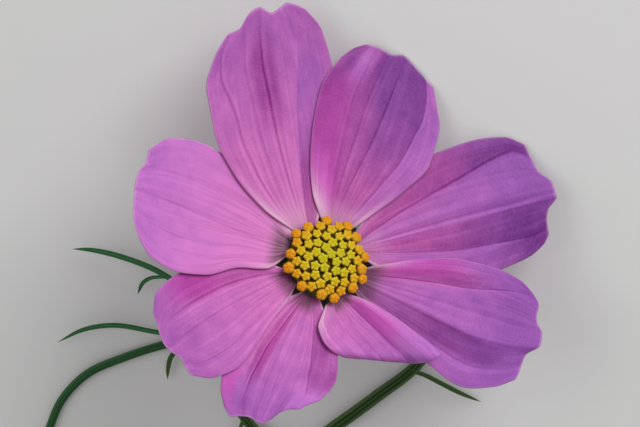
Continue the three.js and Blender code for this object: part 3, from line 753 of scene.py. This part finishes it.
def makeDisc():
    group = floretSpiral()
    wax, bed = floretFinish(), bedFinish()
    star = budObject("starBud", starRings, disc["starSeam"], 1.25)
    ball = budObject("roundBud", roundRings, disc["roundSeam"], 1.6)

    def planted(name, bud, rows):
        return grown(name, group, {
            "Bud": bud, "Count": rows["count"], "First": rows["first"], "All Buds": disc["allBuds"],
            "Disc Radius": disc["radius"] * mm, "Dome Top": disc["domeTop"] * mm,
            "Dome Edge": disc["domeEdge"] * mm, "Lean": disc["lean"] / mm, "Size": rows["size"],
            "Size Spread": disc["sizeSpread"], "Seed": disc["seed"] + rows["first"], "Finish": wax})

    inner = [planted("young", star, disc["young"]),
             discFloor("innerBed", disc["bedMiddle"], disc["bedSplit"], bed)]
    outer = [planted("golden", star, disc["golden"]), planted("ripe", ball, disc["ripe"]),
             discFloor("outerBed", disc["bedSplit"], disc["bedEdge"], bed)]
    for name, meshes, slot, node in (("florets_inner", inner, "inner_floret", "disc_florets_inner"),
                                     ("florets_outer", outer, "outer_floret", "disc_florets_outer")):
        whole = joined(name, meshes)
        whole.transform(bloomMatrix)
        pieceFrom(name, whole, node)
    bpy.data.objects.remove(star)
    bpy.data.objects.remove(ball)


makeDisc()
print("disc made:", disc["allBuds"], "florets")


# Bracts: one of each kind is shaped, and a tree sets eight of it round the stem
innerBracts = {
    "radii": [1.75, 3.5, 5.4, 6.7, 8.2, 9.8],
    "heights": [-5.75, -4.35, -2.75, -1.95, -1.6, -1.55],
    "halfWidths": [0.95, 2.0, 2.5, 2.15, 1.15, 0.04],
    "thickness": 0.4,
    "edgeBand": 0.35,
    "keel": 0.25,
    "edgeLift": 0.12,
    "cupped": True,
    "halfTurns": 1,
    "unevenness": 0.02,
    "seed": 3,
    "green": (0.10, 0.13, 0.035),
    "dark": (0.035, 0.06, 0.02),
    "margin": (0.30, 0.26, 0.10),
    "marginFrom": 0.62,
}
outerBracts = {
    "radii": [1.5, 3.2, 5.6, 8, 10.2],
    "heights": [-6.75, -6.5, -5.6, -4.7, -4.35],
    "halfWidths": [0.75, 1.0, 1.1, 0.75, 0.05],
    "thickness": 0.45,
    "edgeBand": 0.35,
    "keel": 0.3,
    "edgeLift": 0.12,
    "cupped": False,
    "halfTurns": 0,
    "unevenness": 0.05,
    "seed": 6,
    "green": (0.07, 0.17, 0.04),
    "dark": (0.03, 0.09, 0.025),
    "margin": (0.14, 0.24, 0.07),
    "marginFrom": 0.7,
}
bractCollar = [(0.8, -7.35), (1.7, -7.25), (2.1, -6.95), (2.15, -6.55), (1.7, -6.2), (0.8, -6.1)]
bractRows, bractColumns = 26, 12


def bractObject(name, form):
    stations = np.linspace(0, 1, len(form["radii"]))
    along, across = np.meshgrid(
        np.linspace(0, 1, bractRows + 1), np.linspace(-1, 1, bractColumns + 1), indexing="ij")
    radius = curveThrough(stations, form["radii"])(along)
    height = curveThrough(stations, form["heights"])(along)
    width = curveThrough(stations, form["halfWidths"])(along) * across
    if form["cupped"]:  # bends round the axis, as the wall of a cup
        turn = width / np.maximum(radius, 1)
        x, y = radius * np.cos(turn), radius * np.sin(turn)
    else:
        x, y = radius, width
    keel = form["keel"] * (1 - abs(across)) ** 2 * np.sin(np.pi * along)
    height = height - keel + form["edgeLift"] * across ** 2
    middle = np.stack([x, y, height], axis=-1)
    toEdge = np.minimum(1 - abs(across), 4 * (1 - along))
    points, faces, bottom = closedSheet(middle, toEdge, form)
    for j in range(bractColumns):  # closes the root
        faces.append(list(dict.fromkeys([j, j + 1, int(bottom[0, j + 1]), int(bottom[0, j])])))
    mesh = meshFrom(name, points, faces)
    keep(mesh, {label: np.append(values, values[toEdge > 0])
                for label, values in (("across", across), ("along", along))})
    tidy = bmesh.new()
    tidy.from_mesh(mesh)
    bmesh.ops.recalc_face_normals(tidy, faces=tidy.faces)
    tidy.to_mesh(mesh)
    tidy.free()
    return placed(name, mesh)


def bractRing():
    group, tree, start = newGrowth("bractRing", {
        "Bract": "Object", "Count": "Int", "First Turn": "Float", "Unevenness": "Float", "Seed": "Int",
        "Finish": "Material"})
    points = tree.node("GeometryNodePoints", None, {"Count": start["Count"], "Position": (0, 0, 0)})
    uneven = tree.random(-1.0, 1.0, start["Seed"])
    turn = start["First Turn"] + tree.node("GeometryNodeInputIndex") * (2 * math.pi) / start["Count"]
    size = 1 + uneven * start["Unevenness"] * 0.3
    around = tree.vector(0.0, uneven * start["Unevenness"] * 0.2, turn + uneven * start["Unevenness"])
    rotation = tree.node("FunctionNodeEulerToRotation", None, {"Euler": around})
    tree.endWith(tree.planted(points, start["Bract"], rotation, size), start["Finish"])
    return group


def bractFinish(name, form):
    material, tree = newFinish(name)
    across, along = tree.attribute("across"), tree.attribute("along")
    streaks = tree.noise(tree.vector(across * 9, along * 2, 0.0), 1.0, 3)
    colour = tree.blend(tree.between(streaks, 0.35, 0.7), form["green"], form["dark"])
    colour = tree.blend(tree.between(abs(across), form["marginFrom"], 1.0) * 0.8, colour, form["margin"])
    colour = tree.blend(tree.between(along, 0.75, 1.0) * 0.5, colour, form["dark"])
    finishWith(tree, {
        "Base Color": colour,
        "Roughness": 0.5 + streaks * 0.15,
        "Normal": tree.bump(streaks, 0.4, 0.15),
    })
    return material


def makeBracts():
    group = bractRing()
    count = bloom["petalCount"]
    for name, green, form, node in (("innerBractCup", "innerBract", innerBracts, "inner_bracts"),
                                    ("outerBractRing", "outerBract", outerBracts, "outer_bracts")):
        finish = bractFinish(green, form)
        bract = bractObject(name + "One", form)
        firstTurn = bloom["firstPetal"] + form["halfTurns"] * 180 / count
        whole = grown(name, group, {
            "Bract": bract, "Count": count, "First Turn": math.radians(firstTurn),
            "Unevenness": form["unevenness"], "Seed": form["seed"], "Finish": finish})
        if form is outerBracts:
            whole = joined(name, [whole, lathed("collar", bractCollar, finish)])
        whole.transform(bloomMatrix)
        pieceFrom(name, whole, node)
        bpy.data.objects.remove(bract)


makeBracts()
print("bracts made")


# Stem and leaves: routes in the part's own plan, swept by a tree with a ribbed or channelled section
stem = {
    "receptacle": [(0.3, 6.2), (-0.7, 6.2), (-1.75, 5.5), (-3.7, 3.1), (-5.4, 1.4), (-6.4, 0.95), (-8, 0.9)],
    "path": [(0, 10.4, 8.7), (0, 15.6, 4.5), (0.2, 21.6, 1.85), (1.2, 28.1, 0.98), (3.8, 34, 0.87),
             (7.7, 39.7, 0.86), (11.8, 45, 0.86), (16.2, 52.5, 0.86), (20, 60.9, 0.86), (20.7, 69.4, 0.86),
             (19.2, 76.3, 0.86), (17, 83, 0.86), (14.8, 89.5, 0.86)],
    "radius": 0.81,
    "neckRadius": 0.86,
    "neckShare": 0.33,
    "sunkIntoHead": 1.2,
    "headRows": 24,
    "stepsPerPoint": 10,
    "sides": 48,
    "ribs": 9,
    "ribDepth": 0.05,
}
leafRows = {
    "leaf_right": [
        (0.68, [(5.9, 35.2, 1.4), (9.5, 32.2, 2.6), (14.5, 30.5, 3.8), (21.8, 30.7, 4.1), (29.3, 33.2, 3.9),
                (34.3, 36.2, 3.2), (37.5, 39.2, 2.3)]),
        (0.6, [(7.4, 33.9, 2.1), (9.4, 38.4, 2.8), (14, 41.7, 3.4), (21.6, 46.5, 3.2), (26, 52.1, 2.4),
               (28.6, 58.8, 1.6)]),
        (0.45, [(20, 30.7, 4.1), (21.9, 32.9, 3.6), (22.6, 35.6, 2.6), (22, 38.9, 1.5)]),
        (0.45, [(12, 31.2, 3.2), (13.6, 27.6, 3.6), (16.5, 24.4, 2.8), (19, 22.2, 1.4)]),
    ],
    "leaf_left": [
        (1.4, [(3.7, 36.1, 1.3), (-2, 41, 2), (-9.5, 46, 2.6), (-17, 47.1, 2.3), (-22.6, 43, 1.8),
               (-24.7, 35, 1.6), (-26.8, 24.9, 1.5), (-28.6, 14.3, 1.4), (-27.1, 4.9, 1.2),
               (-22.4, -4.5, 0.9)]),
        (0.58, [(-28.7, 16, 1.5), (-31, 15, 1.6), (-34.4, 14.3, 1.6), (-38.6, 13.6, 1.3),
                (-42.9, 12.6, 0.9)]),
        (0.55, [(-2, 41, 2), (5, 39.7, 2.6), (8.8, 41.8, 2.6), (9.2, 45.4, 2.1), (8.1, 48.4, 1.5),
                (6.8, 50.8, 0.9)]),
        (0.5, [(-9.5, 46, 2.6), (-11, 51.5, 2.8), (-10.5, 58, 2), (-8, 63.5, 0.9)]),
        (0.5, [(-17, 47.1, 2.3), (-22, 52.5, 2.4), (-24, 59.5, 1.6), (-23.5, 65.5, 0.8)]),
    ],
}
leafLobe = {
    "sides": 32,
    "flatness": 0.42,
    "channel": 0.5,
    "rootShare": 0.75,
    "swell": 0.35,
    "power": 6,
    "thinnest": 0.03,
    "stepsPerPoint": 14,
}


def mixed(points, t, starts, ends):
    return [((end - t) * a + (t - start) * b) / (end - start)
            for a, b, start, end in zip(points, points[1:], starts, ends)]


def routeThrough(points, steps):  # centripetal curve, with each step's share of the way
    points = np.array(points, float)
    padded = np.concatenate([[2 * points[0] - points[1]], points, [2 * points[-1] - points[-2]]])
    knots = np.append(0, np.cumsum(np.linalg.norm(np.diff(padded, axis=0), axis=1) ** 0.5))
    places, shares = [], []
    for i in range(1, len(padded) - 2):
        k, p = knots[i - 1:i + 3], padded[i - 1:i + 3]
        last = i == len(padded) - 3
        for step in range(steps + (1 if last else 0)):
            t = k[1] + (k[2] - k[1]) * step / steps
            a = mixed(p, t, k[:3], k[1:])
            b = mixed(a, t, k[:2], k[2:])
            places.append(mixed(b, t, k[1:2], k[2:3])[0])
            shares.append((i - 1 + step / steps) / (len(points) - 1))
    return np.array(places), np.array(shares)


def routeObject(name, routes):  # one spline for each route; a point's radius is the half width there
    curve = bpy.data.curves.new(name, "CURVE")
    curve.dimensions = "3D"
    for places, halfWidths in routes:
        spline = curve.splines.new("POLY")
        spline.points.add(len(places) - 1)
        for point, place, halfWidth in zip(spline.points, places * mm, halfWidths):
            point.co, point.radius = (*place, 1), halfWidth * mm
    return placed(name, curve)


def sweptShoot():
    group, tree, start = newGrowth("sweptShoot", {
        "Route": "Object", "Sides": "Int", "Flatness": "Float", "Channel": "Float", "Ribs": "Float",
        "Rib Depth": "Float", "Finish": "Material"})
    width = tree.node("GeometryNodeInputRadius")
    route = tree.noted(tree.shapeOf(start["Route"]), "breadth", width / mm)
    route = tree.noted(route, "along", tree.node("GeometryNodeSplineParameter"))
    level = tree.node("GeometryNodeSetCurveNormal", {"mode": "Z_UP"}, {"Curve": route})
    circle = tree.node("GeometryNodeCurvePrimitiveCircle", None, {
        "Resolution": start["Sides"], "Radius": 1.0})
    place = tree.node("ShaderNodeSeparateXYZ", None, {0: tree.node("GeometryNodeInputPosition")})
    x, y = place["X"], place["Y"]
    angle = tree.maths("ARCTAN2", y, x)
    reach = 1 + start["Rib Depth"] * tree.maths("COSINE", angle * start["Ribs"])
    upper = 0 - y  # the section hangs upside down on its route
    groove = start["Channel"] * tree.between(upper, 0.2, 1.0) * tree.between(abs(x), 0.75, 0.0)
    section = tree.vector(x * reach, (y * reach + groove * 2) * start["Flatness"], 0.0)
    ring = tree.noted(tree.noted(circle, "side", x), "upper", upper)
    profile = tree.node("GeometryNodeSetPosition", None, {"Geometry": ring, "Position": section})
    swept = tree.node("GeometryNodeCurveToMesh", None, {
        "Curve": level, "Profile Curve": profile, "Scale": width, "Fill Caps": True})
    tree.endWith(swept, start["Finish"])
    return group


greens = {
    # light also paints the highlight along the flanks; channel is partly painted shade in the leaves' groove,
    # and the middle line colour is partly a pale midrib and partly a painted highlight
    "stem": {"body": (0.021, 0.105, 0.03), "dark": (0.007, 0.045, 0.011), "light": (0.09, 0.23, 0.085),
             "channel": (0.017, 0.085, 0.022), "midrib": (0.038, 0.145, 0.042), "tip": (0.04, 0.15, 0.04)},
    "leaf_right": {"body": (0.026, 0.16, 0.048), "dark": (0.012, 0.09, 0.026), "light": (0.09, 0.27, 0.10),
                   "channel": (0.034, 0.15, 0.05), "midrib": (0.11, 0.27, 0.12), "tip": (0.08, 0.20, 0.05)},
    "leaf_left": {"body": (0.078, 0.145, 0.044), "dark": (0.04, 0.085, 0.022), "light": (0.10, 0.17, 0.06),
                  "channel": (0.016, 0.046, 0.008), "midrib": (0.06, 0.14, 0.03), "tip": (0.30, 0.36, 0.10)},
    "pith": (0.50, 0.56, 0.28),
    "pithRadius": 0.5,
    "pithSoft": 0.12,
}


def greenFinish(name, cutEnd=None):
    material, tree = newFinish(name)
    place = tree.objectPlace()
    grain = tree.noise(place, 900, 3)
    patches = tree.noise(place, 120, 2)
    side, upper = tree.attribute("side"), tree.attribute("upper")
    paint = greens[name]
    colour = tree.blend(patches, paint["dark"], paint["body"])
    colour = tree.blend(tree.between(grain, 0.55, 0.8) * 0.4, colour, paint["light"])
    # painted highlight along each flank
    colour = tree.blend(tree.between(abs(side), 0.76, 0.95) * 0.55, colour, paint["light"])
    streaks = tree.noise(tree.vector(side * 3, upper * 3, tree.attribute("along") * 2), 1.0, 2)
    colour = tree.blend(tree.between(streaks, 0.5, 0.38) * 0.75, colour, paint["dark"])
    colour = tree.blend(tree.between(streaks, 0.52, 0.64) * 0.75, colour, paint["light"])
    middle = side + (patches - 0.5) * 0.3
    # darker along the upper middle; on the leaves partly their own colour and partly painted shade in the
    # groove
    channel = tree.between(abs(middle), 0.62, 0.38) * tree.between(upper, -0.1, 0.2)
    channel = channel * tree.between(tree.attribute("breadth"), 0.3, 0.9)
    colour = tree.blend(channel, colour, paint["channel"])
    # pale middle line: partly a pale midrib, partly a painted highlight
    colour = tree.blend(tree.between(abs(middle), 0.14, 0.04) * 0.8, colour, paint["midrib"])
    colour = tree.blend(tree.between(tree.attribute("along"), 0.93, 1.0) * 0.8, colour, paint["tip"])
    if cutEnd is not None:
        ends = {0: place, 1: cutEnd * mm}
        away = tree.node("ShaderNodeVectorMath", {"operation": "DISTANCE"}, ends, "Value") / mm + grain * 0.1
        pithEdge = greens["pithRadius"] + greens["pithSoft"]
        inside = tree.between(away, pithEdge, greens["pithRadius"])
        colour = tree.blend(inside, colour, greens["pith"])
    finishWith(tree, {
        "Base Color": colour,
        "Roughness": 0.45 + grain * 0.2,
        "Specular IOR Level": 0.2,
        "Normal": tree.bump(grain, 0.3, 0.09),
    })
    return material


def makeStemAndLeaves():
    group = sweptShoot()
    stemGreen = greenFinish("stem", np.array(stem["path"][-1]) + plumb)
    receptacle = stem["receptacle"]
    neck = bloomCentre + receptacle[-1][0] * bloomAxis
    path = [tuple(neck)] + [tuple(np.array(point) + plumb) for point in stem["path"]]
    places, shares = routeThrough(path, stem["stepsPerPoint"])
    radii = stem["neckRadius"] + (stem["radius"] - stem["neckRadius"]) * ease(shares / stem["neckShare"])
    top = bloomCentre + (receptacle[-1][0] + stem["sunkIntoHead"]) * bloomAxis
    places, radii = np.concatenate([[top], places]), np.append(radii[0], radii)
    route = routeObject("stemRoute", [(places, radii)])
    shaft = grown("stemShaft", group, {
        "Route": route, "Sides": stem["sides"], "Flatness": 1.0, "Channel": 0.0, "Ribs": float(stem["ribs"]),
        "Rib Depth": stem["ribDepth"], "Finish": stemGreen})
    bpy.data.objects.remove(route)
    heights = np.linspace(receptacle[-2][0], receptacle[0][0], stem["headRows"])
    profile = curveThrough([-h for h, r in receptacle], [r for h, r in receptacle])
    section = [(0.01, heights[0]), *[(float(profile(-h)), h) for h in heights], (0.01, heights[-1])]
    head = lathed("receptacle", section, stemGreen)
    head.transform(bloomMatrix)
    pieceFrom("stemShaft", joined("stemShaft", [shaft, head]), "stem")
    for node, lobes in leafRows.items():
        routes = []
        for halfWidth, points in lobes:
            places, shares = routeThrough(points, leafLobe["stepsPerPoint"])
            taper = (leafLobe["rootShare"] + leafLobe["swell"] * shares) * (1 - shares ** leafLobe["power"])
            routes.append((places + plumb, halfWidth * np.maximum(taper, leafLobe["thinnest"])))
        route = routeObject(node + "Route", routes)
        blade = grown(node + "Lobes", group, {
            "Route": route, "Sides": leafLobe["sides"], "Flatness": leafLobe["flatness"],
            "Channel": leafLobe["channel"], "Ribs": 0.0, "Rib Depth": 0.0, "Finish": greenFinish(node)})
        bpy.data.objects.remove(route)
        blade.shade_smooth()
        pieceFrom(node.replace("leaf_", "leafLobes_"), blade, node)


makeStemAndLeaves()
print("stem and leaves made")


# Camera: where it looks from, against the bloom's own axes
shot = {"swing": 13.5, "offAxis": 20, "roll": 40, "distance": 420, "pixelsPerMm": 5.5,
        "imageWidth": 640, "imageHeight": 427, "bloomPixel": (323, 262), "sensorWidth": 36}


def makeCamera():
    swing, off, roll = (math.radians(shot[key]) for key in ("swing", "offAxis", "roll"))
    first = math.cos(swing) * downhill - math.sin(swing) * sideways
    second = math.sin(swing) * downhill + math.cos(swing) * sideways
    back = math.cos(off) * bloomAxis - math.sin(off) * first
    across = math.sin(off) * bloomAxis + math.cos(off) * first
    right = math.cos(roll) * across - math.sin(roll) * second
    up = math.sin(roll) * across + math.cos(roll) * second
    shiftRight = (shot["imageWidth"] / 2 - shot["bloomPixel"][0]) / shot["pixelsPerMm"]
    shiftDown = (shot["imageHeight"] / 2 - shot["bloomPixel"][1]) / shot["pixelsPerMm"]
    target = bloomCentre + shiftRight * right - shiftDown * up
    lens = bpy.data.cameras.new("camera")
    lens.sensor_width = shot["sensorWidth"]
    lens.lens = shot["sensorWidth"] * shot["distance"] * shot["pixelsPerMm"] / shot["imageWidth"]
    lens.clip_start, lens.clip_end = 0.01, 20
    camera = placed("camera", lens)
    camera.matrix_world = matrixFrom(target + shot["distance"] * back, [right, up, back])
    scene.camera = camera
    return Vector(right), Vector(up), Vector(back), Vector(bloomCentre * mm)


right, up, back, middle = makeCamera()


# Pale floor and soft studio light
studio = {
    "floor": (0.82, 0.82, 0.81),
    "sky": 0.34,
    "key": {"power": 5.4, "size": 0.5, "right": 0.55, "up": 0.6},
    "fill": {"power": 1.2, "size": 0.6, "right": -0.9, "up": 0.1},
    "lampDistance": 0.9,
    "floorHalf": 3000,
}


def softLight(name):  # shines on the bloom, from beside the camera
    form = studio[name]
    direction = back + right * form["right"] + up * form["up"]
    lamp = bpy.data.lights.new(name + "Light", "AREA")
    lamp.energy, lamp.size = form["power"], form["size"]
    light = placed(name + "Light", lamp)
    light.location = middle + direction.normalized() * studio["lampDistance"]
    light.rotation_mode = "QUATERNION"
    light.rotation_quaternion = direction.to_track_quat("Z", "Y")


def makeStudio():
    half = studio["floorHalf"]
    corners = [(-half, -half, 0), (half, -half, 0), (half, half, 0), (-half, half, 0)]
    ground = meshFrom("floor", corners, [(0, 1, 2, 3)])
    material, tree = newFinish("floorPaper")
    grain = tree.noise(tree.objectPlace(), 60, 2)
    pale = studio["floor"]
    finishWith(tree, {
        "Base Color": tree.blend(grain, tuple(0.97 * part for part in pale), pale),
        "Roughness": 0.9,
    })
    ground.materials.append(material)
    floor = placed("floor", ground)
    softLight("key")
    softLight("fill")
    world = bpy.data.worlds.new("studio")
    world.use_nodes = True
    world.node_tree.nodes["Background"].inputs["Color"].default_value = (1, 1, 1, 1)
    world.node_tree.nodes["Background"].inputs["Strength"].default_value = studio["sky"]
    scene.world = world
    scene.view_settings.view_transform = "Standard"


makeStudio()
print("camera and studio ready")
